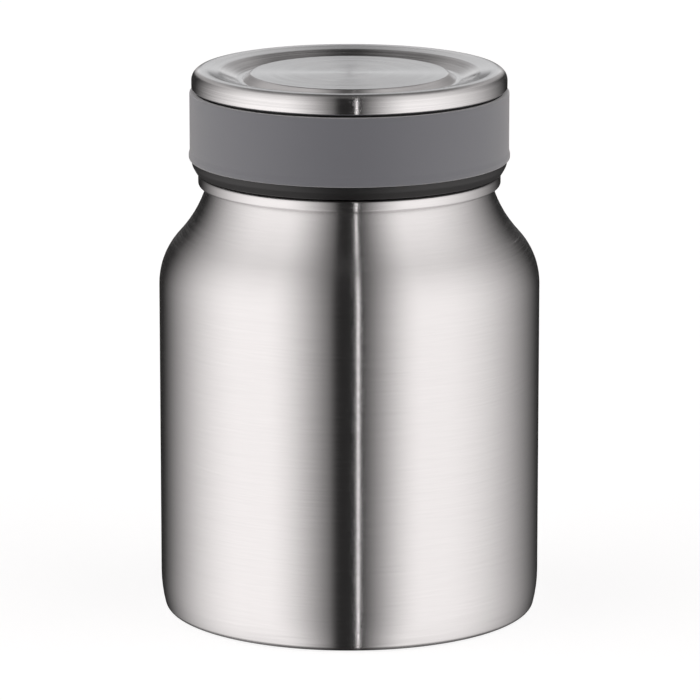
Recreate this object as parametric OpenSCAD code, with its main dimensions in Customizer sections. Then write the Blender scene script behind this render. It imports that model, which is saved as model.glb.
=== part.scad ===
// Insulated food jar: a double-walled steel vessel with a screw lid.
// Millimetres. +Z is up, and the origin is the middle of the foot ring, on the table.
// Every pressed steel piece is one outline of corners and bend radii, revolved at its sheet's thickness.
// An outline is a list of [radius, height, bend radius] and runs anticlockwise, so the metal is on its left.

/* [Steel body] */
// Diameter of the straight body
body_d = 95; // [90:1:120]
// Height of the crease under the neck bead
crease_z = 107.7; // [85:0.1:150]
// Thickness of the outer shell's sheet
shell_t = 0.6; // [0.4:0.05:0.75]
// Radius of the bend from the straight body into the shoulder
shoulder_r = 17.8; // [10:0.1:24]
// Slope of the shoulder at its steepest, from upright
shoulder_slope = 42.7; // [35:0.1:55]
// Slope of the shell where it meets the crease, from upright
crease_slope = 16.3; // [5:0.1:22]
// Taper of the body just above the foot, from upright
foot_taper = 14; // [6:1:20]
// Radius of the sweep from the straight body into that taper
foot_sweep_r = 33; // [15:1:45]
// Radius of the corner that the jar stands on
foot_corner_r = 1.7; // [1.2:0.1:3]
// Width of the flat ring under the foot
foot_ring_w = 2.5; // [1.5:0.1:4]

/* [Neck] */
// Clear diameter of the mouth
mouth_d = 66.2; // [52:0.1:68]
// Vacuum gap between the two walls of the neck
neck_gap = 1.1; // [0.8:0.1:1.6]
// Height of the neck from its bead to the welded lip
neck_h = 17.1; // [13:0.1:24]
// How far the bead stands out of the neck
bead_out = 2.35; // [1.8:0.05:2.5]
// Height of the bead
bead_h = 3.2; // [2.6:0.1:4]
// Radius of the bead's two edges
bead_edge_r = 1; // [0.8:0.1:1.2]
// How far the crease stands out of the neck
crease_out = 0.3; // [0.1:0.05:0.6]

/* [Inner vessel] */
// Thickness of the inner vessel's sheet
liner_t = 0.5; // [0.4:0.05:0.6]
// Vacuum gap between the two straight walls
vacuum_gap = 4.4; // [3:0.1:6]
// Vacuum gap under the inner vessel
floor_gap = 6.9; // [5:0.1:14]
// Radius of the vessel's bottom corner
liner_corner_r = 10; // [4:0.5:16]
// Radius of the vessel's bend into its shoulder
liner_shoulder_r = 15; // [8:0.5:20]
// How far under the crease the vessel's neck runs straight
liner_neck_drop = 4; // [2:0.5:8]
// Thickness of the radiation foil
foil_t = 0.3; // [0.2:0.05:0.5]
// How far the radiation foil stays under the vessel's shoulder
foil_margin = 2; // [1:0.5:12]

/* [Base] */
// Thickness of the vacuum base's sheet
vacuum_base_t = 0.6; // [0.4:0.05:0.8]
// Height of the vacuum base's skirt, which is welded to the shell
vacuum_skirt_h = 5; // [4:0.5:8]
// Diameter of the dimple round the pumping port
dimple_d = 14; // [10:1:20]
// Height of that dimple
dimple_h = 1.6; // [1:0.1:2]
// Diameter of the pumping port
port_d = 2; // [1.5:0.1:3]
// Diameter of the glass button that seals the port
seal_d = 7; // [5:0.5:9]
// Height of that button under the dimple
seal_h = 1.2; // [0.8:0.1:1.6]
// Diameter of the getter pill
getter_d = 8; // [6:0.5:10]
// Height of the getter pill
getter_h = 2.2; // [1.5:0.1:3]
// Distance of the getter from the jar's axis
getter_offset = 24; // [20:1:30]
// Thickness of the getter's clip
clip_t = 0.5; // [0.3:0.05:0.6]
// Thickness of the base cover's sheet
cover_t = 0.5; // [0.4:0.05:0.7]
// Height of the recess under the base cover
cover_recess = 3.4; // [2.5:0.1:5]
// Diameter of the pressed disc in the middle of the base cover
cover_disc_d = 52; // [30:1:60]
// Height of that pressed disc
cover_disc_h = 0.8; // [0.4:0.1:1.2]

/* [Lid cap] */
// Gap between the lid's skirt and the neck bead when the lid is shut
skirt_gap = 0.3; // [0.2:0.05:1]
// Height of a thread ridge, which the cap's bore leaves room for
thread_h = 1; // [0.6:0.1:1.4]
// Running gap between the threads
thread_gap = 0.4; // [0.3:0.05:0.6]
// Thickness of the cap's wall
cap_wall = 1.6; // [1.4:0.1:2.4]
// Thickness of the cap's ceiling
cap_ceiling_t = 1.9; // [1.4:0.1:3]
// Height of the skirt that shows under the grip band
skirt_h = 3.3; // [2.5:0.1:6]
// How far the skirt stands back from the grip band
skirt_inset = 0.5; // [0:0.05:0.8]
// How far the skirt's lower edge is drawn in
skirt_draw = 1.1; // [0.6:0.1:1.4]
// Number of ribs that carry the middle of the top plate
rib_count = 12; // [6:1:18]

/* [Grip band] */
// Thickness of the grip band
band_t = 1.3; // [0.8:0.05:2]
// Radius of the grip band's edges
band_edge_r = 0.45; // [0.2:0.05:0.6]
// How far the lip at the band's lower edge stands out
band_lip_out = 0.25; // [0.1:0.05:0.4]
// Height of that lip
band_lip_h = 2.2; // [1.6:0.1:3]

/* [Top plate] */
// Thickness of the top plate's sheet
plate_t = 0.5; // [0.4:0.05:0.7]
// Height of the top plate's rim
plate_h = 4.95; // [4.5:0.05:7]
// Radius of the rim's upper edge
plate_edge_r = 2.7; // [1.5:0.1:3]
// How far the plate stands back from the grip band
plate_inset = 0.48; // [0:0.02:0.8]
// Width of the hem that snaps under the cap's rim
hem_w = 1.4; // [1:0.1:1.8]
// Dark gap between the plate and the grip band
plate_gap = 0.5; // [0.3:0.05:1]
// Width of the rim's flat crest
crest_w = 3.6; // [3.4:0.1:5]
// Width of the gentle slope inside the crest
brim_w = 3.2; // [2:0.1:4.5]
// How far that gentle slope falls
brim_drop = 0.6; // [0.3:0.05:1]
// Width of the groove's steeper outer slope
groove_slope_w = 4.8; // [4:0.1:7]
// How far that disc lies under the crest
disc_drop = 0.95; // [0.4:0.05:1.6]
// Depth of the ring groove under the crest
groove_depth = 2.65; // [2:0.05:3.5]
// Width of the groove's inner side
groove_side_w = 2.2; // [1.2:0.1:3]
// Width of the groove's flat floor
groove_floor_w = 1; // [0.8:0.1:2]

/* [Stopper] */
// Gap between the stopper and the mouth
stopper_gap = 0.5; // [0.3:0.05:1]
// How far the stopper reaches under the lip
stopper_depth = 11.5; // [8:0.5:16]
// Thickness of the stopper's wall
stopper_wall = 1.7; // [1.2:0.1:2.5]
// Radius of the stopper's inner corner
stopper_corner_r = 1.6; // [0.8:0.1:3]
// Thickness of the stopper's flange, under the cap's ceiling
stopper_flange_t = 0.6; // [0.5:0.1:1]
// Depth of the groove that the gasket sits in
gasket_groove = 0.6; // [0.4:0.1:0.8]
// Height of the gasket
gasket_h = 1.95; // [1.5:0.05:3]
// Gap over the lip, which the real gasket fills when it is pressed
gasket_gap = 0.15; // [0.1:0.05:0.3]
// How far the gasket reaches past the neck
gasket_out = 0.9; // [0.4:0.1:1]

/* [Hidden] */
$fn = 144;
weld_gap = 0.1;    // between curved faces that are welded or glued
slip_gap = 0.3;    // between pieces that only lie in each other
bend_tol = 0.015;  // how far a step of a bend may lie from its true curve

// The outer shell's corners, worked out from its bends.
body_r = body_d / 2;
mouth_r = mouth_d / 2;
neck_r = mouth_r + liner_t + neck_gap + shell_t;
bead_r = neck_r + bead_out;
bead_top_z = crease_z + bead_h;
neck_top_z = bead_top_z + neck_h;
crease_r = neck_r + crease_out;
taper_l = foot_sweep_r * tan(foot_taper / 2) + foot_corner_r * tan((90 - foot_taper) / 2);
foot_r = body_r - taper_l * sin(foot_taper);
foot_flat_r = foot_r - foot_corner_r * tan((90 - foot_taper) / 2);
foot_in_r = foot_flat_r - foot_ring_w;
taper_z = taper_l * cos(foot_taper);
straight_z = taper_z + foot_sweep_r * tan(foot_taper / 2);
shoulder_l = shoulder_r * tan(shoulder_slope / 2);
sweep_l = (body_r - crease_r - shoulder_l * sin(shoulder_slope)) / (sin(shoulder_slope) + sin(crease_slope));
sweep_r = sweep_l / tan((shoulder_slope - crease_slope) / 2);
sweep_corner = [crease_r + sweep_l * sin(crease_slope), crease_z - sweep_l * cos(crease_slope)];
shoulder_z = sweep_corner[1] - (shoulder_l + sweep_l) * cos(shoulder_slope);

// The inner vessel's corners, on its vacuum side.
vacuum_base_z = straight_z + weld_gap;
liner_z = vacuum_base_z + vacuum_base_t + floor_gap;
liner_r = body_r - shell_t - vacuum_gap;
liner_neck_r = mouth_r + liner_t;
liner_shoulder_l = liner_shoulder_r * tan(shoulder_slope / 2);
liner_sweep_l = (liner_r - liner_neck_r) / sin(shoulder_slope) - liner_shoulder_l;
liner_sweep_r = liner_sweep_l / tan(shoulder_slope / 2);
liner_sweep_z = crease_z - liner_neck_drop - liner_sweep_l;
liner_shoulder_z = liner_sweep_z - (liner_shoulder_l + liner_sweep_l) * cos(shoulder_slope);
lip_fold_r = (neck_r - liner_t - liner_neck_r) / 2;
lip_fold_z = neck_top_z + lip_fold_r;
lip_z = lip_fold_z + liner_t;

// The lid, stacked up from the lip and out from the neck.
skirt_z = bead_top_z + skirt_gap;
band_z = skirt_z + skirt_h;
gasket_z = lip_z + gasket_gap;
flange_z = gasket_z + gasket_h;
ceiling_z = flange_z + stopper_flange_t;
cap_top_z = ceiling_z + cap_ceiling_t;
groove_z = cap_top_z + weld_gap + plate_t;
crest_z = groove_z + groove_depth;
disc_z = crest_z - disc_drop;
plate_z = crest_z - plate_h;
band_top_z = plate_z - plate_gap;
cap_in_r = neck_r + thread_h + thread_gap;
cap_r = cap_in_r + cap_wall;
band_in_r = cap_r + weld_gap;
band_r = band_in_r + band_t;
skirt_r = band_r - skirt_inset;
plate_r = band_r - plate_inset;
hem_r = plate_r - hem_w;
rim_r = plate_r - plate_t - slip_gap;
groove_r = plate_r - crest_w - brim_w - groove_slope_w;
disc_r = groove_r - groove_floor_w - groove_side_w;
stopper_r = mouth_r - stopper_gap;
stopper_z = lip_z - stopper_depth;
stopper_in_r = stopper_r - stopper_wall;
stopper_floor_z = stopper_z + stopper_wall;
gasket_in_r = stopper_r - gasket_groove + weld_gap;

// Direction from a to b, and a direction turned a quarter turn to the left.
function heading(a, b) = (b - a) / norm(b - a);
function left(v) = [-v[1], v[0]];
function turned(v, angle) = v * cos(angle) + left(v) * sin(angle);
function place(p) = [p[0], p[1]];

// How far the outline turns at corner b, in degrees, positive to the left.
function corner_angle(a, b, c) =
    let (u = heading(a, b), v = heading(b, c))
    atan2(cross(u, v), u * v);

// The points of the bend at corner b, or the corner itself where it is sharp.
function bend(a, b, c, r) =
    let (angle = corner_angle(a, b, c), side = sign(angle))
    r <= 0 || side == 0 ? [b] :
    let (
        u = heading(a, b),
        centre = b - u * r * tan(abs(angle) / 2) + left(u) * r * side,
        steps = max(3, ceil(abs(angle) / (2 * acos(1 - bend_tol / r))))
    )
    [for (i = [0:steps]) centre - turned(left(u), angle * i / steps) * r * side];

// An open outline with its bends drawn in.
function bent(path) =
    let (last = len(path) - 1)
    [
        place(path[0]),
        for (i = [1:last - 1])
            each bend(place(path[i - 1]), place(path[i]), place(path[i + 1]), path[i][2]),
        place(path[last])
    ];

// A closed outline with its corners rounded.
function rounded(path) =
    let (n = len(path))
    [
        for (i = [0:n - 1])
            each bend(place(path[(i + n - 1) % n]), place(path[i]), place(path[(i + 1) % n]), path[i][2])
    ];

// The same outline on the far face of the sheet, a thickness t to the left.
function far_face(path, t) =
    let (last = len(path) - 1)
    [
        for (i = [0:last])
            let (
                p = place(path[i]),
                u = heading(i == 0 ? p : place(path[i - 1]), i == 0 ? place(path[1]) : p),
                v = i == last ? u : heading(p, place(path[i + 1])),
                shift = (left(u) + left(v)) / (1 + u * v) * t,
                r = path[i][2]
            )
            [p[0] + shift[0], p[1] + shift[1], r > 0 ? max(0, r - t * sign(cross(u, v))) : 0]
    ];

function reversed(list) = [for (i = [len(list) - 1:-1:0]) list[i]];

// A piece pressed from sheet of thickness t.
module pressed(path, t) {
    rotate_extrude()
        polygon(concat(bent(path), reversed(bent(far_face(path, t)))));
}

// A moulded or turned piece with the given section.
module moulded(path) {
    rotate_extrude()
        polygon(rounded(path));
}

// Outer steel shell: foot, straight body, sweeping shoulder, rolled bead and neck.
module outer_shell() {
    color("silver")
        pressed([
            [foot_in_r, 0, 0],
            [foot_r, 0, foot_corner_r],
            [body_r, taper_z, foot_sweep_r],
            [body_r, shoulder_z, shoulder_r],
            [sweep_corner[0], sweep_corner[1], sweep_r],
            [crease_r, crease_z, 0],
            [bead_r, crease_z, bead_edge_r],
            [bead_r, bead_top_z, bead_edge_r],
            [neck_r, bead_top_z, 0.3],
            [neck_r, neck_top_z, 0]
        ], shell_t);
}

// Inner steel vessel, whose lip folds over to meet the edge of the shell's neck.
module inner_vessel() {
    color("gainsboro")
        pressed([
            [0, liner_z, 0],
            [liner_r, liner_z, liner_corner_r],
            [liner_r, liner_shoulder_z, liner_shoulder_r],
            [liner_neck_r, liner_sweep_z, liner_sweep_r],
            [liner_neck_r, lip_fold_z, lip_fold_r],
            [neck_r - liner_t, lip_fold_z, lip_fold_r],
            [neck_r - liner_t, neck_top_z, 0]
        ], liner_t);
}

// Foil wrapped round the inner vessel, inside the vacuum.
module radiation_foil() {
    foil_z = liner_z + liner_corner_r;
    foil_h = liner_shoulder_z - liner_shoulder_l - foil_margin - foil_z;
    color("peru")
        translate([0, 0, foil_z])
            difference() {
                cylinder(h = foil_h, r = liner_r + slip_gap + foil_t);
                translate([0, 0, -1])
                    cylinder(h = foil_h + 2, r = liner_r + slip_gap);
            }
}

// Dished plate that closes the vacuum, with its pumping port in a dimple.
module vacuum_base() {
    weld_r = body_r - shell_t - weld_gap;
    dimple_z = vacuum_base_z + dimple_h;
    color("darkgray")
        pressed([
            [port_d / 2, dimple_z, 0],
            [dimple_d / 2, dimple_z, 0.8],
            [dimple_d / 2 + dimple_h, vacuum_base_z, 0.8],
            [weld_r, vacuum_base_z, 3],
            [weld_r, vacuum_base_z + vacuum_skirt_h, 0]
        ], vacuum_base_t);
}

// Glass button under the port, with its stem in it.
module vacuum_seal() {
    top_z = vacuum_base_z + dimple_h;
    color("darkolivegreen")
        moulded([
            [0, top_z - seal_h, 0],
            [seal_d / 2, top_z - seal_h, seal_h * 0.8],
            [seal_d / 2, top_z, 0],
            [port_d / 2 - weld_gap, top_z, 0],
            [port_d / 2 - weld_gap, top_z + vacuum_base_t, 0],
            [0, top_z + vacuum_base_t, 0]
        ]);
}

// Everything of the getter stands on the vacuum base, beside the dimple.
module at_getter() {
    translate([getter_offset, 0, vacuum_base_z + vacuum_base_t])
        children();
}

// Clip that holds the getter pill down, open in the middle.
module getter_clip() {
    pocket_r = getter_d / 2 + slip_gap;
    pocket_h = getter_h + weld_gap;
    color("dimgray")
        at_getter()
            pressed([
                [getter_d / 2 - 1.2, pocket_h, 0],
                [pocket_r, pocket_h, 0.5],
                [pocket_r, 0, 0],
                [pocket_r + 2, 0, 0]
            ], clip_t);
}

// Getter pill, which soaks up the last of the gas.
module getter() {
    color("slategray")
        at_getter()
            cylinder(h = getter_h, r = getter_d / 2);
}

// Recessed cover that shows under the jar, seated on the foot ring.
module base_cover() {
    well_r = foot_in_r - cover_t - 0.5;
    color("silver")
        pressed([
            [0, cover_recess + cover_disc_h, 0],
            [cover_disc_d / 2, cover_recess + cover_disc_h, 1],
            [cover_disc_d / 2 + 1.5, cover_recess, 1],
            [well_r, cover_recess, 1.8],
            [well_r, shell_t, 1],
            [foot_flat_r - slip_gap, shell_t, 0]
        ], cover_t);
}

// Moulded cap: bore for the thread, skirt, seat for the band and snap rim for the plate.
module lid_cap() {
    snap_z = plate_z + plate_t + slip_gap;
    rim_top_z = cap_top_z + 0.9;
    color("dimgray") {
        moulded([
            [cap_in_r, skirt_z, 0.3],
            [skirt_r - skirt_draw, skirt_z, 0.5],
            [skirt_r, skirt_z + skirt_h * 0.6, 2.4],
            [skirt_r, band_z, 0.2],
            [cap_r, band_z, 0],
            [cap_r, band_top_z, 0],
            [hem_r - slip_gap, band_top_z, 0],
            [hem_r - slip_gap, snap_z, 0],
            [rim_r, snap_z, 0.2],
            [rim_r, rim_top_z, 0.7],
            [rim_r - 2, rim_top_z, 0.4],
            [rim_r - 3, cap_top_z, 0.4],
            [0, cap_top_z, 0],
            [0, ceiling_z, 0],
            [cap_in_r, ceiling_z, 0.6]
        ]);
        plate_ribs();
    }
}

// Ribs on top of the cap, under the plate's middle disc: a ring and its spokes.
module plate_ribs() {
    rib_t = 1.2;
    rib_h = disc_z - plate_t - weld_gap - cap_top_z;
    hub_r = 6;
    ring_r = disc_r - 3.4;
    translate([0, 0, cap_top_z - 0.2]) {
        for (r = [hub_r, ring_r])
            difference() {
                cylinder(h = rib_h + 0.2, r = r);
                cylinder(h = rib_h + 1, r = r - rib_t);
            }
        for (i = [0:rib_count - 1])
            rotate(i * 360 / rib_count)
                translate([hub_r - rib_t / 2, -rib_t / 2, 0])
                    cube([ring_r - hub_r, rib_t, rib_h + 0.2]);
    }
}

// Soft band round the cap, between the skirt and the plate, with a low lip round its lower edge.
module grip_band() {
    color("gray")
        moulded([
            [band_in_r, band_z, 0],
            [band_r + band_lip_out, band_z, 0.6],
            [band_r + band_lip_out, band_z + band_lip_h * 0.6, 0.5],
            [band_r, band_z + band_lip_h, 0.5],
            [band_r, band_top_z, band_edge_r],
            [band_in_r, band_top_z, 0]
        ]);
}

// Steel top plate: hem, rim, ring groove and middle disc, pressed from one sheet.
module top_plate() {
    color("silver")
        pressed([
            [hem_r, plate_z, 0],
            [plate_r, plate_z, 0.7],
            [plate_r, crest_z, plate_edge_r],
            [plate_r - crest_w, crest_z, 6],
            [plate_r - crest_w - brim_w, crest_z - brim_drop, 3],
            [groove_r, groove_z, 2],
            [groove_r - groove_floor_w, groove_z, 0.8],
            [disc_r, disc_z, 0.9],
            [0, disc_z, 0]
        ], plate_t);
}

// Hollow stopper under the cap, with a groove for the gasket and a shallow dish in its underside.
module stopper() {
    dish_r = stopper_r - 6;
    dish_h = 0.7;
    groove_r = stopper_r - gasket_groove;
    color("darkslategray")
        moulded([
            [0, stopper_z + dish_h, 0],
            [dish_r, stopper_z + dish_h, 1],
            [dish_r + 1.2, stopper_z, 0.8],
            [stopper_r, stopper_z, 2.2],
            [stopper_r, gasket_z, 0],
            [groove_r, gasket_z, 0],
            [groove_r, flange_z, 0],
            [neck_r + slip_gap, flange_z, 0],
            [neck_r + slip_gap, ceiling_z, 0],
            [stopper_in_r, ceiling_z, 0],
            [stopper_in_r, stopper_floor_z, stopper_corner_r],
            [0, stopper_floor_z, 0]
        ]);
}

// Silicone gasket in the stopper's groove, over the lip.
module lid_gasket() {
    color("lightgray")
        moulded([
            [gasket_in_r, gasket_z, 0.3],
            [neck_r + gasket_out, gasket_z, 0.6],
            [neck_r + gasket_out, flange_z, 0.3],
            [gasket_in_r, flange_z, 0]
        ]);
}

// Foam that fills the stopper, loose in it by the slip gap all round.
module insulation_disc() {
    foam_r = stopper_in_r - slip_gap;
    color("khaki")
        moulded([
            [0, stopper_floor_z + slip_gap, 0],
            [foam_r, stopper_floor_z + slip_gap, stopper_corner_r - slip_gap],
            [foam_r, ceiling_z - slip_gap, 0],
            [0, ceiling_z - slip_gap, 0]
        ]);
}

outer_shell();
inner_vessel();
radiation_foil();
vacuum_base();
vacuum_seal();
getter_clip();
getter();
base_cover();
lid_cap();
grip_band();
top_plate();
stopper();
lid_gasket();
insulation_disc();
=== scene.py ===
# %% [markdown]
# # A steel food jar with a screw lid
# The jar comes here as a frame of plain solids from CAD: right in size and place, plain in finish. This
# lesson builds the pieces that show around that frame, gives every piece a finish, and lights them as the
# photograph does. Everything is in metres, +Z is up, and the origin is the middle of the foot ring.

# %% The frame
import math

import bpy
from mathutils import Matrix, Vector


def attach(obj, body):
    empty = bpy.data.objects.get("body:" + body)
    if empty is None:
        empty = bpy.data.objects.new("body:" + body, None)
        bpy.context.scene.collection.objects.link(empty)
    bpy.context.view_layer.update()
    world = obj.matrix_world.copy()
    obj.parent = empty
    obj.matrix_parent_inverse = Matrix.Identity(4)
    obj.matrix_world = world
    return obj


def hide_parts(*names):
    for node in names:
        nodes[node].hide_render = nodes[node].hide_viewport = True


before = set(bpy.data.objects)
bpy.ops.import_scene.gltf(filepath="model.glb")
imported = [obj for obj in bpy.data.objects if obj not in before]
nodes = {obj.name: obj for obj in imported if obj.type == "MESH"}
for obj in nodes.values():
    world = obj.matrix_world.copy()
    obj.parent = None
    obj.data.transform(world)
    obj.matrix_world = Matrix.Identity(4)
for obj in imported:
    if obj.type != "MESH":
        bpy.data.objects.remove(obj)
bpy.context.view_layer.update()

MM = 0.001
print("nodes:", sorted(nodes))

# %% [markdown]
# ## The camera
# The photograph looks at the jar from a little above, from far away through a long lens. The ellipses of
# the lid give the angle: the camera stands 1.33 m in front, 0.37 m up, and looks 12.7 degrees down. No lens
# shift is used, so that every other view of the jar is framed properly too.

# %% The camera
CAMERA_PLACE = Vector((0.00015, -1.33, 0.36597))
CAMERA_PITCH = math.radians(12.734)
LENS = 279.7

camera_data = bpy.data.cameras.new("camera")
camera_data.lens = LENS
camera_data.clip_end = 20
camera = bpy.data.objects.new("camera", camera_data)
camera.location = CAMERA_PLACE
camera.rotation_euler = (math.pi / 2 - CAMERA_PITCH, 0, 0)
bpy.context.scene.collection.objects.link(camera)
bpy.context.scene.camera = camera
print("camera at", tuple(round(v, 3) for v in camera.location), "lens", LENS)

# %% [markdown]
# ## Shader maths as ordinary maths
# A material is a graph of nodes, and a graph is tedious to write. `Wire` wraps one socket, so that
# `a * 2 + b` adds the Math nodes by itself. `Graph` holds one node tree: its `add` makes any node, from its
# type, its settings and the values or wires of its sockets.

# %% Wires and graphs
class Wire:
    """One output socket, which takes part in ordinary sums."""

    def __init__(self, graph, socket):
        self.graph = graph
        self.socket = socket

    def maths(self, operation, *values):
        return self.graph.add("ShaderNodeMath", {"operation": operation}, dict(enumerate(values)))

    def __add__(self, other):
        return self.maths("ADD", self, other)

    def __radd__(self, other):
        return self.maths("ADD", other, self)

    def __sub__(self, other):
        return self.maths("SUBTRACT", self, other)

    def __rsub__(self, other):
        return self.maths("SUBTRACT", other, self)

    def __mul__(self, other):
        return self.maths("MULTIPLY", self, other)

    def __truediv__(self, other):
        return self.maths("DIVIDE", self, other)

    def __pow__(self, other):
        return self.maths("POWER", self, other)

    def __abs__(self):
        return self.maths("ABSOLUTE", self)


class Graph:
    """A node tree that is written as code."""

    def __init__(self, tree):
        self.tree = tree
        tree.nodes.clear()

    def plug(self, socket, value):
        if isinstance(value, Wire):
            self.tree.links.new(value.socket, socket)
        else:
            socket.default_value = value

    def add(self, kind, settings=None, sockets=None, out=0):
        """A new node, as the wire of its output if it has one."""
        node = self.tree.nodes.new(kind)
        for name, value in (settings or {}).items():
            setattr(node, name, value)
        for name, value in (sockets or {}).items():
            self.plug(node.inputs[name], value)
        return Wire(self, node.outputs[out]) if len(node.outputs) else node

    def mix(self, factor, a, b):
        """Between two colours."""
        return self.add("ShaderNodeMix", {"data_type": "RGBA"}, {0: factor, 6: a, 7: b}, out=2)

    def split(self, vector):
        node = self.add("ShaderNodeSeparateXYZ", sockets={0: vector}).socket.node
        return [Wire(self, output) for output in node.outputs]

    def join(self, x, y, z):
        return self.add("ShaderNodeCombineXYZ", sockets={0: x, 1: y, 2: z})

    def step(self, value, low, high):
        """0 under low, 1 over high, with a soft change between them."""
        return self.add(
            "ShaderNodeMapRange", {"interpolation_type": "SMOOTHSTEP"},
            {"Value": value, "From Min": low, "From Max": high})

    def noise(self, vector, scale=1.0, detail=2.0, roughness=0.5):
        return self.add("ShaderNodeTexNoise", sockets={
            "Vector": vector, "Scale": scale, "Detail": detail, "Roughness": roughness})


# %% [markdown]
# ## The light
# Brushed steel shows its surroundings, smeared out across the brushing, so the light is most of its look.
# The photograph's steel shows two wide soft panels, left and right, which fade towards its edges, a dark gap
# between them where the camera stands, and one thin bright strip in that gap. The lid's flat middle shows a
# pale wall behind the jar, and the bends of its plate show dimmer light from high up at the sides. That is a
# light tent, so the tent is written as the world: its brightness depends on the direction alone, and it
# stays put when the camera moves.
#
# A mirror faces half-way between what it shows and the eye. The panels are therefore drawn by that half-way
# direction: `facing` is how far to the side a surface must look to show this part of the tent to the
# photograph's camera, and `lift` is how far up it must look. With them, a panel's edge falls where it is
# wanted on the jar's wall. The wall behind is drawn by its own elevation, and the ceiling by both. All
# these angles are in degrees. The camera itself sees plain white.

# %% The light tent
LEFT_PANEL, RIGHT_PANEL = 1.36, 1.31        # brightness; the white of the background is 1
STRIP = 4.5
BACK_WALL = 0.73
HIGH_SIDES = 0.4
CEILING = 0.13
DARK = 0.029
WARM_WHITE = (1.0, 0.968, 0.966, 1)
COOL_WHITE = (0.98, 0.985, 1.0, 1)

world = bpy.data.worlds.new("light_tent")
world.use_nodes = True
bpy.context.scene.world = world
tent = Graph(world.node_tree)


def angle(operation, *values):
    """An angle in degrees, by the Math node of that operation."""
    return tent.add("ShaderNodeMath", {"operation": operation}, dict(enumerate(values))) * math.degrees(1)


def fade_out(value, low, high):
    """1 under low, 0 over high."""
    return 1 - tent.step(value, low, high)


# Directions
ahead, above_level = math.cos(CAMERA_PITCH), math.sin(CAMERA_PITCH)
east, north, up = tent.split(tent.add("ShaderNodeTexCoord", out=0))
level = ahead - north
facing = angle("ARCTAN2", east, level)
lift = angle("ARCTAN2", up + above_level, (east * east + level * level) ** 0.5)
to_left, to_right, drop = 0 - facing, facing, 0 - lift
off_centre = abs(facing)
elevation = angle("ARCSINE", up)
sideways = abs(angle("ARCTAN2", east, north))

# The two panels, which are a little wider low down, and dimmer high up and under the foot
spread = tent.step(drop, 4, 18) * 0.36 + 1
left_opens = tent.step(to_left * spread, -0.2, 26) * tent.step(to_left, 2.6, 6.4)
right_opens = tent.step(to_right * spread, 0.5, 23) * tent.step(to_right, 2.6, 5.4)
left_panel = left_opens * fade_out(off_centre, 34, 80) * LEFT_PANEL
right_panel = right_opens * fade_out(off_centre, 28, 83) * RIGHT_PANEL
high_up = 1 - tent.step(lift, 8, 50) * 0.27 - tent.step(lift, 44, 64) * 0.65
low_down = 1 - tent.step(drop, 12, 33) * 0.9
panels = (left_panel + right_panel) * high_up * low_down

# The thin strip in the gap between them
strip_across = tent.step(to_right, 2.4, 2.6) * fade_out(to_right, 2.7, 2.9)
strip = strip_across * fade_out(lift, 30, 60) * low_down * STRIP

# What the lid shows: the wall behind, the sides high up, and the ceiling
back_wall = fade_out(sideways, 7, 14) * tent.step(elevation, 3, 10) * fade_out(elevation, 22, 44) * BACK_WALL
ceiling = tent.step(elevation, 58, 80) * tent.step(lift, 46, 52) * CEILING
high_sides = tent.step(lift, 47, 54) * fade_out(lift, 64, 78) * tent.step(off_centre, 35, 62) * HIGH_SIDES

glow = panels + strip + back_wall + ceiling + high_sides + DARK
tint = tent.mix(back_wall / glow, WARM_WHITE, COOL_WHITE)
lit = tent.add("ShaderNodeBackground", sockets={"Color": tint, "Strength": glow})
plain = tent.add("ShaderNodeBackground", sockets={"Color": (1, 1, 1, 1), "Strength": 1.0})
is_camera = tent.add("ShaderNodeLightPath", out="Is Camera Ray")
shown = tent.add("ShaderNodeMixShader", sockets={0: is_camera, 1: lit, 2: plain})
tent.add("ShaderNodeOutputWorld", sockets={"Surface": shown})
bpy.context.scene.view_settings.view_transform = "Standard"
print("the tent has", len(world.node_tree.nodes), "nodes")

# %% [markdown]
# ## The floor
# The photograph's jar stands on a pale sheet that is lit until it is nearly white. A floor that glows a
# little by itself does that, and keeps a faint shadow where the jar touches it. The steel doesn't see it,
# because its white would fill the dark gap, and from underneath it is clear, so that the base shows.

# %% The floor
def clear_selection():
    """Puts Blender in object mode with nothing selected."""
    if bpy.context.object and bpy.context.object.mode != "OBJECT":
        bpy.ops.object.mode_set(mode="OBJECT")
    bpy.ops.object.select_all(action="DESELECT")


FLOOR_WIDTH = 12.0
FLOOR_Z = -0.02 * MM        # just under the foot
SHEET_GREY = (0.5, 0.5, 0.5, 1)
SHEET_GLOW = 0.72
clear_selection()
bpy.ops.mesh.primitive_plane_add(size=FLOOR_WIDTH, location=(0, 0, FLOOR_Z))
floor = bpy.context.object
floor.name = "floor"
floor.visible_glossy = floor.visible_diffuse = False
sheet = bpy.data.materials.new("pale_floor")
sheet.use_nodes = True
paper = Graph(sheet.node_tree)
matt = paper.add("ShaderNodeBsdfDiffuse", sockets={"Color": SHEET_GREY})
own_light = paper.add("ShaderNodeEmission", sockets={"Color": (1, 1, 1, 1), "Strength": SHEET_GLOW})
pale = paper.add("ShaderNodeAddShader", sockets={0: matt, 1: own_light})
clear = paper.add("ShaderNodeBsdfTransparent")
behind = paper.add("ShaderNodeNewGeometry", out="Backfacing")
paper.add("ShaderNodeOutputMaterial", sockets={
    "Surface": paper.add("ShaderNodeMixShader", sockets={0: behind, 1: pale, 2: clear})})
floor.data.materials.append(sheet)
print("floor", FLOOR_WIDTH, "m wide")

# %% [markdown]
# ## Brushed steel
# Steel is brushed by turning the piece against an abrasive, which leaves fine grooves all round it. Light
# then smears across the grooves and stays sharp along them: that is anisotropy, turned a quarter turn so
# that the smear runs up the wall and out across the lid. The grooves themselves are a noise that is long
# round the axis and very short across it. It reads the height less the radius, which grows steadily along
# the wall, over the shoulder and in across the lid, so one pattern serves every steel piece.

# %% Steel finishes
def new_finish(name):
    material = bpy.data.materials.new(name)
    material.use_nodes = True
    return material, Graph(material.node_tree)


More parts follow.
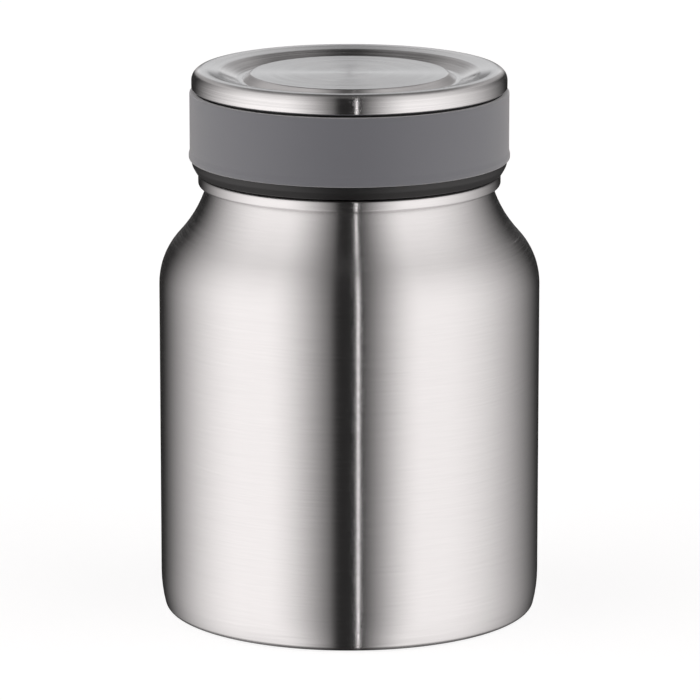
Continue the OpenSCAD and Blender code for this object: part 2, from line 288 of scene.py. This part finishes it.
def end_finish(graph, sockets):
    """Adds the Principled shader with its sockets and puts it out."""
    shader = graph.add("ShaderNodeBsdfPrincipled", sockets=sockets)
    graph.add("ShaderNodeOutputMaterial", sockets={"Surface": shader})


def bump(graph, height, strength, distance):
    return graph.add(
        "ShaderNodeBump", sockets={"Height": height, "Strength": strength, "Distance": distance})


NOT_ZERO = 1e-9         # m2, so that the direction from the axis exists on the axis too


def round_the_axis(graph):
    """Where a point is: its direction from the axis, its radius and its height."""
    x, y, z = graph.split(graph.add("ShaderNodeTexCoord", out="Object"))
    radius = (x * x + y * y + NOT_ZERO) ** 0.5
    return x / radius, y / radius, radius, z


GROOVE_RADIUS = 40 * MM         # where a groove has its stated length
BROAD_WIDER, BROAD_LONGER = 5, 1 / 0.6      # the broad grooves against the fine ones
QUARTER_TURN = 0.25


def shades(colour, contrast):
    """A colour a little darker and a little lighter."""
    return [(*(min(1, c * share) for c in colour), 1) for share in (1 - contrast, 1 + contrast)]


def brushed(name, colour, roughness, line_width, line_length, contrast, grain_depth):
    """Steel brushed round its axis, with grooves of that width, length and depth in metres."""
    material, graph = new_finish(name)
    way_x, way_y, radius, height = round_the_axis(graph)
    along = height - radius

    def grooves(wider, longer, **noise):
        round_it = GROOVE_RADIUS / line_length / longer
        place = graph.join(way_x * round_it, way_y * round_it, along / (line_width * wider))
        return graph.noise(place, **noise)

    fine = grooves(1, 1, detail=3, roughness=0.7)
    broad = grooves(BROAD_WIDER, BROAD_LONGER, detail=2)
    groove = fine * 0.75 + broad * 0.25
    shade = graph.mix(graph.step(groove, 0.3, 0.7), *shades(colour, contrast))
    end_finish(graph, {
        "Base Color": shade,
        "Metallic": 1.0,
        "Roughness": roughness + (fine - 0.5) * 0.12 + (broad - 0.5) * 0.24,
        "Anisotropic": 1.0,
        "Anisotropic Rotation": QUARTER_TURN,
        "Normal": bump(graph, groove, 0.5, grain_depth)})
    return material


STEELS = {      # colour, roughness, groove width and length, contrast, groove depth
    "brushed_shell": ((0.66, 0.652, 0.65), 0.19, 0.11 * MM, 12 * MM, 0.04, 0.003 * MM),
    "turned_plate": ((0.66, 0.655, 0.653), 0.18, 0.12 * MM, 50 * MM, 0.11, 0.004 * MM),
    "satin_liner": ((0.66, 0.65, 0.635), 0.40, 0.2 * MM, 20 * MM, 0.04, 0.004 * MM),
    "mill_steel": ((0.5, 0.5, 0.49), 0.45, 0.4 * MM, 30 * MM, 0.08, 0.006 * MM),
}
finishes = {name: brushed(name, *steel) for name, steel in STEELS.items()}
print("steel finishes:", sorted(finishes))

# %% [markdown]
# ## Plastic, silicone and the hidden finishes
# The cap is moulded charcoal plastic: nearly black, with the fine stipple of a spark-eroded mould. The band
# is silicone, which is matte and a little dusty, so its sheen is broad. The pieces inside the walls are seen
# only when the jar is cut open, but each is finished as what it is: crinkled foil, dark glass, sintered
# getter metal, and foam with closed cells.

# %% Moulded finishes
CLOUD_SCALE = 45        # faint clouds of colour, in noise cells a metre


def moulded_finish(name, colour, roughness, stipple, depth, variation, **constants):
    """A moulded finish with a stipple of that size and depth in metres."""
    material, graph = new_finish(name)
    place = graph.add("ShaderNodeTexCoord", out="Object")
    grain = graph.noise(place, scale=1 / stipple, detail=2, roughness=0.6)
    cloud = graph.noise(place, scale=CLOUD_SCALE, detail=3)
    tone = grain * 0.4 + cloud * 0.6
    end_finish(graph, {
        "Base Color": graph.mix(graph.step(tone, 0.3, 0.7), *shades(colour, variation)),
        "Roughness": roughness + (grain - 0.5) * 0.12 + (cloud - 0.5) * 0.06,
        "Normal": bump(graph, grain, 0.5, depth),
        **constants})
    return material


finishes["charcoal_plastic"] = moulded_finish(
    "charcoal_plastic", (0.009, 0.0088, 0.009), 0.37, 0.35 * MM, 0.02 * MM, 0.08)
finishes["grey_silicone"] = moulded_finish(
    "grey_silicone", (0.152, 0.156, 0.174), 0.55, 0.16 * MM, 0.012 * MM, 0.025,
    **{"Sheen Weight": 1.0, "Sheen Roughness": 0.5})
finishes["clear_silicone"] = moulded_finish(
    "clear_silicone", (0.58, 0.58, 0.56), 0.42, 0.5 * MM, 0.01 * MM, 0.04,
    **{"Subsurface Weight": 0.25, "Subsurface Radius": (0.002, 0.002, 0.0018), "Subsurface Scale": 1.0})
finishes["getter_metal"] = moulded_finish(
    "getter_metal", (0.2, 0.2, 0.21), 0.75, 0.3 * MM, 0.08 * MM, 0.2, **{"Metallic": 0.6})
finishes["seal_glass"] = moulded_finish(
    "seal_glass", (0.03, 0.042, 0.028), 0.12, 1.2 * MM, 0.01 * MM, 0.3, **{"Coat Weight": 0.5})
print("moulded finishes added:", len(finishes), "in all")


# %% Foil and foam
CREASES, CRINKLES = 170, 320            # in the foil, a metre
FOAM_CELLS, FOAM_CLOUDS = 1400, 60      # in the foam, a metre


def foil_finish():
    """Thin aluminium that was wrapped by hand, so it is creased all over."""
    material, graph = new_finish("foil")
    place = graph.add("ShaderNodeTexCoord", out="Object")
    crease = graph.add(
        "ShaderNodeTexVoronoi", {"feature": "DISTANCE_TO_EDGE"}, {"Vector": place, "Scale": CREASES})
    wave = graph.noise(place, scale=CRINKLES, detail=3, roughness=0.6)
    height = graph.step(crease, 0, 0.2) * 0.5 + wave * 0.5
    end_finish(graph, {
        "Base Color": graph.mix(wave, (0.66, 0.66, 0.67, 1), (0.8, 0.8, 0.81, 1)),
        "Metallic": 1.0,
        "Roughness": 0.2 + wave * 0.15,
        "Normal": bump(graph, height, 0.6, 0.15 * MM)})
    return material


def foam_finish():
    """Cream foam, cut from a block, with its cells open at the cut."""
    material, graph = new_finish("foam")
    place = graph.add("ShaderNodeTexCoord", out="Object")
    cell = graph.add(
        "ShaderNodeTexVoronoi", {"feature": "F1"}, {"Vector": place, "Scale": FOAM_CELLS})
    cloud = graph.noise(place, scale=FOAM_CLOUDS, detail=3)
    end_finish(graph, {
        "Base Color": graph.mix(cell * 0.7 + cloud * 0.3, (0.86, 0.82, 0.68, 1), (0.68, 0.62, 0.47, 1)),
        "Roughness": 0.85 + cell * 0.1,
        "Normal": bump(graph, 1 - cell, 0.7, 0.2 * MM)})
    return material


finishes["foil"] = foil_finish()
finishes["foam"] = foam_finish()
print("all finishes:", sorted(finishes))

# %% [markdown]
# ## Drawing a section and turning it
# Every piece of the jar is round, as pressed steel and moulded lids are. By hand, one draws half its
# section on the XZ plane, one vertex after another, and spins it round the Z axis. The section here is a
# list of corners in millimetres: radius, height and the radius of the bend at that corner. A straight run
# is an extruded vertex; a bend is that vertex spun round the bend's own centre, so it is a true arc. A
# bevel would be quicker, but its arc is only true at a right angle, and brushed steel shows the difference.

# %% A section, vertex by vertex
BEND_STEP = math.radians(4)     # one facet of a bend
MIN_BEND_STEPS = 4
SUPPORT = 0.35                  # mm from a bend to the ring that keeps the flat beside it flat
MERGE = 0.002 * MM              # vertices nearer than this are one


def start_section(name, corner):
    """A new mesh of one vertex: a plane that is merged to its middle and moved to the first corner."""
    clear_selection()
    bpy.ops.mesh.primitive_plane_add(size=1 * MM, location=(0, 0, 0))
    piece = bpy.context.object
    piece.name = piece.data.name = name
    bpy.ops.object.mode_set(mode="EDIT")
    bpy.ops.mesh.select_all(action="SELECT")
    bpy.ops.mesh.merge(type="CENTER")
    bpy.ops.transform.translate(value=(corner[0] * MM, 0, corner[1] * MM))
    return piece


def straight(here, there):
    """Extrudes the end of the section to a point, with a stop near each end of a long run."""
    run = there - here
    near = SUPPORT / run.length if run.length > 3 * SUPPORT else 0
    done = 0
    for share in ([near, 1 - near, 1] if near else [1]):
        move = run * (share - done) * MM
        bpy.ops.mesh.extrude_vertices_move(TRANSFORM_OT_translate={"value": (move.x, 0, move.y)})
        done = share


def corner_turn(before, corner, after):
    """How far the section turns at a corner, positive to the left."""
    come, go = corner - before, after - corner
    return math.atan2(come.cross(go), come.dot(go))


def draw_section(name, corners, closed=False):
    """Draws the section through its corners, with a true arc at each bend."""
    points = [Vector(c[:2]) for c in corners]
    bends = [c[2] for c in corners]
    if closed:
        points, bends = points + points[:2], bends + bends[:2]
    start = points[0]
    if closed and bends[0]:
        turn = corner_turn(points[-3], points[0], points[1])
        start = points[0] + (points[1] - points[0]).normalized() * bends[0] * math.tan(abs(turn) / 2)
    piece = start_section(name, start)
    here = start
    for before, corner, after, bend in zip(points, points[1:], points[2:], bends[1:]):
        come = (corner - before).normalized()
        turn = corner_turn(before, corner, after)
        if bend:
            into = corner - come * bend * math.tan(abs(turn) / 2)
            straight(here, into)
            centre = into + Vector((-come.y, come.x)) * math.copysign(bend, turn)
            steps = max(MIN_BEND_STEPS, math.ceil(abs(turn) / BEND_STEP))
            bpy.ops.mesh.spin(
                steps=steps, angle=turn, center=(centre.x * MM, 0, centre.y * MM), axis=(0, 1, 0))
            here = corner + (after - corner).normalized() * bend * math.tan(abs(turn) / 2)
        else:
            straight(here, corner)
            here = corner
    if not closed:
        straight(here, points[-1])
    return piece


# %% [markdown]
# ## Turning the section into a piece
# The spin goes all the way round, so its last copy lies on its first, and the vertices on the axis lie on
# each other: all of them are merged. Then the normals are set. A pressed piece is only a surface so far,
# and gets its sheet's thickness from a Solidify modifier, always on the left of the section as it was drawn.

# %% Lathe work
TURN_STEPS = 192
SMOOTH_UNDER = math.radians(34)


def check_outward(piece, corners):
    """Turns the faces over if those of the first run don't face right of the way it was drawn."""
    first, second = Vector(corners[0][:2]), Vector(corners[1][:2])
    way = (second - first).normalized()
    middle = (first + second) / 2 * MM
    mesh = piece.data
    face = min(mesh.polygons, key=lambda f: (f.center - Vector((middle.x, 0, middle.y))).length)
    if face.normal.x * way.y - face.normal.z * way.x < 0:
        bpy.ops.object.mode_set(mode="EDIT")
        bpy.ops.mesh.select_all(action="SELECT")
        bpy.ops.mesh.flip_normals()
        bpy.ops.object.mode_set(mode="OBJECT")


def lathe(name, corners, sheet=0.0, closed=False):
    """A round piece. sheet is the thickness in millimetres of a pressed one."""
    piece = draw_section(name, corners, closed)
    bpy.ops.mesh.select_all(action="SELECT")
    bpy.ops.mesh.spin(steps=TURN_STEPS, angle=2 * math.pi, center=(0, 0, 0), axis=(0, 0, 1))
    bpy.ops.mesh.select_all(action="SELECT")
    bpy.ops.mesh.remove_doubles(threshold=MERGE)
    bpy.ops.mesh.normals_make_consistent(inside=False)
    bpy.ops.object.mode_set(mode="OBJECT")
    if sheet:
        check_outward(piece, corners)
        wall = piece.modifiers.new("sheet", "SOLIDIFY")
        wall.thickness = sheet * MM
        wall.offset = -1
        wall.use_even_offset = True
        bpy.ops.object.modifier_apply(modifier=wall.name)
    bpy.ops.object.shade_smooth_by_angle(angle=SMOOTH_UNDER)
    low = [min(v.co[i] for v in piece.data.vertices) / MM for i in range(3)]
    high = [max(v.co[i] for v in piece.data.vertices) / MM for i in range(3)]
    print(name, "box, mm:", [round(v, 2) for v in (*low, *high)], "faces:", len(piece.data.polygons))
    return piece


def fit_out(piece, body, node, slot):
    """Gives the piece its finish and its place in the frame."""
    piece.data.materials.clear()
    piece.data.materials.append(finishes[slot])
    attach(piece, body)
    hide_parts(node)


# %% [markdown]
# ## Screw threads
# The lid is held by a two-start thread: two ridges, half a turn apart, that climb 9 mm a turn. They are left
# out of the CAD solids, which only keep the room for them, so they are modelled here. One ridge is a small
# section that a Screw modifier carries round and up. Its ends are faded into the wall, as a rolled or
# moulded thread's are, and closed there. The second ridge is made the same way and turned half round.

# %% A thread
LEAD = 9.0              # mm climbed in a turn
STARTS = 2
THREAD_STEPS = 120      # a turn
FADE_STEPS = 12
END_FADE = 0.05         # what is left of a ridge at its very ends, inside the wall
END_FLATTEN = 0.4       # how tall it still is there
ROOT_DEPTH = 0.1        # mm that a ridge reaches into the wall
CREST_BEND = 0.3        # mm


def ridge(name, wall_r, crest_r, foot_half, crest_half, start_z, turns, start_angle):
    """One ridge of a thread, from a wall at wall_r out or in to crest_r, as a mesh of its own."""
    out = math.copysign(1, crest_r - wall_r)
    root_r = wall_r - ROOT_DEPTH * out
    section = [
        (root_r, start_z - foot_half, 0), (crest_r, start_z - crest_half, CREST_BEND),
        (crest_r, start_z + crest_half, CREST_BEND), (root_r, start_z + foot_half, 0)]
    if out < 0:
        section.reverse()
    piece = draw_section(name, section, closed=True)
    bpy.ops.object.mode_set(mode="OBJECT")
    in_section = len(piece.data.vertices)
    climb = piece.modifiers.new("climb", "SCREW")
    climb.axis = "Z"
    climb.angle = 2 * math.pi * turns
    climb.screw_offset = LEAD * MM * turns
    last = climb.steps = climb.render_steps = round(THREAD_STEPS * turns)
    bpy.ops.object.modifier_apply(modifier=climb.name)
    for vertex in piece.data.vertices:
        step = vertex.index // in_section
        fade = min(1.0, min(step, last - step) / FADE_STEPS)
        fade = max(END_FADE, fade * fade * (3 - 2 * fade))
        middle_z = (start_z + LEAD * turns * step / last) * MM
        radius = math.hypot(vertex.co.x, vertex.co.y)
        faded = root_r * MM + (radius - root_r * MM) * fade
        vertex.co.x *= faded / radius
        vertex.co.y *= faded / radius
        vertex.co.z = middle_z + (vertex.co.z - middle_z) * (END_FLATTEN + (1 - END_FLATTEN) * fade)
    bpy.ops.object.mode_set(mode="EDIT")
    bpy.ops.mesh.select_all(action="SELECT")
    bpy.ops.mesh.remove_doubles(threshold=MERGE)
    bpy.ops.mesh.fill_holes(sides=0)
    bpy.ops.mesh.select_all(action="SELECT")
    bpy.ops.mesh.normals_make_consistent(inside=False)
    bpy.ops.transform.rotate(value=start_angle, orient_axis="Z", center_override=(0, 0, 0))
    bpy.ops.object.mode_set(mode="OBJECT")
    return piece


def add_parts(piece, parts):
    """Joins parts to the piece that carries them."""
    clear_selection()
    for part in [*parts, piece]:
        part.select_set(True)
    bpy.context.view_layer.objects.active = piece
    bpy.ops.object.join()
    bpy.ops.object.shade_smooth_by_angle(angle=SMOOTH_UNDER)
    print(piece.name, "has", len(parts), "parts more, and", len(piece.data.polygons), "faces")


def thread(piece, **shape):
    """Adds both ridges to a piece."""
    turns = [i * 2 * math.pi / STARTS for i in range(STARTS)]
    add_parts(piece, [ridge(f"{piece.name}_ridge", start_angle=turn, **shape) for turn in turns])


# %% [markdown]
# ## The jar's steel
# The outer shell is one pressing: foot ring, straight wall, shoulder, rolled bead and neck. The vessel
# inside it is another, whose lip folds over to meet the neck's edge, where the two are welded. The foot is
# closed by a shallow cover with a pressed disc.

# %% The outer shell
SHELL = [
    (42.37, 0, 0), (46.198, 0, 1.7), (47.5, 5.22, 33), (47.5, 89.893, 17.8), (37.702, 100.511, 31.933),
    (35.6, 107.7, 0), (37.65, 107.7, 1), (37.65, 110.9, 1), (35.3, 110.9, 0.3), (35.3, 128, 0)]
shell = lathe("body_shell", SHELL, sheet=0.6)
thread(shell, wall_r=35.3, crest_r=36.3, foot_half=1.15, crest_half=0.4, start_z=114.2, turns=1.15)
fit_out(shell, "jar", "outer_shell", "brushed_shell")

# %% The vessel
VESSEL = [
    (0, 16.872, 0), (42.5, 16.872, 10), (42.5, 86.795, 15), (33.6, 96.44, 18.574), (33.6, 128.6, 0.6),
    (34.8, 128.6, 0.6), (34.8, 128, 0)]
vessel = lathe("food_vessel", VESSEL, sheet=0.5)
fit_out(vessel, "jar", "inner_vessel", "satin_liner")

# %% The foot cover
FOOT_COVER = [
    (0, 4.2, 0), (26, 4.2, 1), (27.5, 3.4, 1), (41.37, 3.4, 1.8), (41.37, 0.6, 1), (44.57, 0.6, 0)]
foot_cover = lathe("foot_cover", FOOT_COVER, sheet=0.5)
fit_out(foot_cover, "jar", "base_cover", "brushed_shell")

# %% [markdown]
# ## The lid
# The cap is moulded: a bore with the thread, a skirt that shows under the band, a seat for the band and a
# rim that the steel plate snaps over. The plate is pressed from one sheet, with a ring groove round a middle
# disc, which ribs on the cap carry. Under the cap hangs a hollow stopper with a silicone gasket in its
# groove.

# %% The ribs that carry the plate
SPOKES = 12
HUB_R, RING_R = 6, 21.02            # mm, outside
RIB_T, RIB_LOW, RIB_TOP = 1.2, 133.5, 135.4
RIB_EASE = 0.2


def rib_ring(outside):
    """A round rib on top of the cap."""
    inside = outside - RIB_T
    section = [
        (outside, RIB_LOW, 0), (outside, RIB_TOP, RIB_EASE),
        (inside, RIB_TOP, RIB_EASE), (inside, RIB_LOW, 0)]
    return lathe(f"rib_ring_{outside}", section, closed=True)


def spoke(number):
    """One straight rib from the hub to the outer ring, with its upper edges eased."""
    near = HUB_R - RIB_T / 2
    long = RING_R - HUB_R
    clear_selection()
    bpy.ops.mesh.primitive_plane_add(size=1 * MM, location=(0, 0, 0))
    rib = bpy.context.object
    bpy.ops.object.mode_set(mode="EDIT")
    bpy.ops.transform.resize(value=(long, RIB_T, 1))
    bpy.ops.transform.translate(value=((near + long / 2) * MM, 0, RIB_LOW * MM))
    rise = RIB_TOP - RIB_LOW
    for step, narrower in ((rise - RIB_EASE, 0), (RIB_EASE, RIB_EASE)):
        bpy.ops.mesh.extrude_region_move(TRANSFORM_OT_translate={"value": (0, 0, step * MM)})
        bpy.ops.transform.resize(value=(1 - 2 * narrower / long, 1 - 2 * narrower / RIB_T, 1))
    bpy.ops.mesh.select_all(action="SELECT")
    bpy.ops.mesh.normals_make_consistent(inside=False)
    bpy.ops.transform.rotate(
        value=number * 2 * math.pi / SPOKES, orient_axis="Z", center_override=(0, 0, 0))
    bpy.ops.object.mode_set(mode="OBJECT")
    return rib


# %% The cap
CAP = [
    (36.7, 111.2, 0.3), (38.1, 111.2, 0.5), (39.2, 113.18, 2.4), (39.2, 114.5, 0.2), (38.3, 114.5, 0),
    (38.3, 131.5, 0), (37.52, 131.5, 0), (37.52, 132.8, 0), (38.42, 132.8, 0.2), (38.42, 134.6, 0.7),
    (36.42, 134.6, 0.4), (35.42, 133.7, 0.4), (0, 133.7, 0)]
CAP_INSIDE = [(0, 131.8, 0), (36.7, 131.8, 0.6)]
cap = lathe("screw_cap", [*CAP_INSIDE, *CAP])
add_parts(cap, [rib_ring(HUB_R), rib_ring(RING_R), *(spoke(i) for i in range(SPOKES))])
thread(cap, wall_r=36.7, crest_r=35.75, foot_half=1.1, crest_half=0.35, start_z=116.45, turns=0.8)
fit_out(cap, "lid", "lid_cap", "charcoal_plastic")

# %% The band
BAND = [
    (38.4, 114.5, 0), (39.95, 114.5, 0.6), (39.95, 115.82, 0.5), (39.7, 116.7, 0.5), (39.7, 131.5, 0.45),
    (38.4, 131.5, 0)]
band = lathe("grip_ring", BAND, closed=True)
fit_out(band, "lid", "grip_band", "grey_silicone")

# %% The plate
PLATE = [
    (37.82, 132, 0), (39.22, 132, 0.7), (39.22, 136.95, 2.7), (35.62, 136.95, 6), (32.42, 136.35, 3),
    (27.62, 134.3, 2), (26.62, 134.3, 0.8), (24.42, 136, 0.9), (0, 136, 0)]
plate = lathe("lid_plate", PLATE, sheet=0.5)
fit_out(plate, "lid", "top_plate", "turned_plate")

# %% The stopper and its gasket
STOPPER = [
    (0, 118.3, 0), (26.6, 118.3, 1), (27.8, 117.6, 0.8), (32.6, 117.6, 2.2), (32.6, 129.25, 0),
    (32, 129.25, 0), (32, 131.2, 0), (35.6, 131.2, 0), (35.6, 131.8, 0), (30.9, 131.8, 0),
    (30.9, 119.3, 1.6), (0, 119.3, 0)]
plug = lathe("stopper_cup", STOPPER)
fit_out(plug, "lid", "stopper", "charcoal_plastic")
GASKET = [(32.1, 129.25, 0.3), (36.2, 129.25, 0.6), (36.2, 131.2, 0.3), (32.1, 131.2, 0)]
gasket = lathe("lip_gasket", GASKET, closed=True)
fit_out(gasket, "lid", "lid_gasket", "clear_silicone")

# %% [markdown]
# ## The pieces inside the walls
# The foil, the welded base with its glass seal, the getter with its clip, and the foam are right as the CAD
# made them, so they stay, and only get their finishes.

# %% Finishes for the pieces that stay
STAYING = {
    "radiation_foil": "foil", "vacuum_base": "mill_steel", "vacuum_seal": "seal_glass",
    "getter_clip": "mill_steel", "getter": "getter_metal", "insulation_disc": "foam"}
for name, slot in STAYING.items():
    nodes[name].data.materials.clear()
    nodes[name].data.materials.append(finishes[slot])
print("finished", len(STAYING), "pieces that stay")
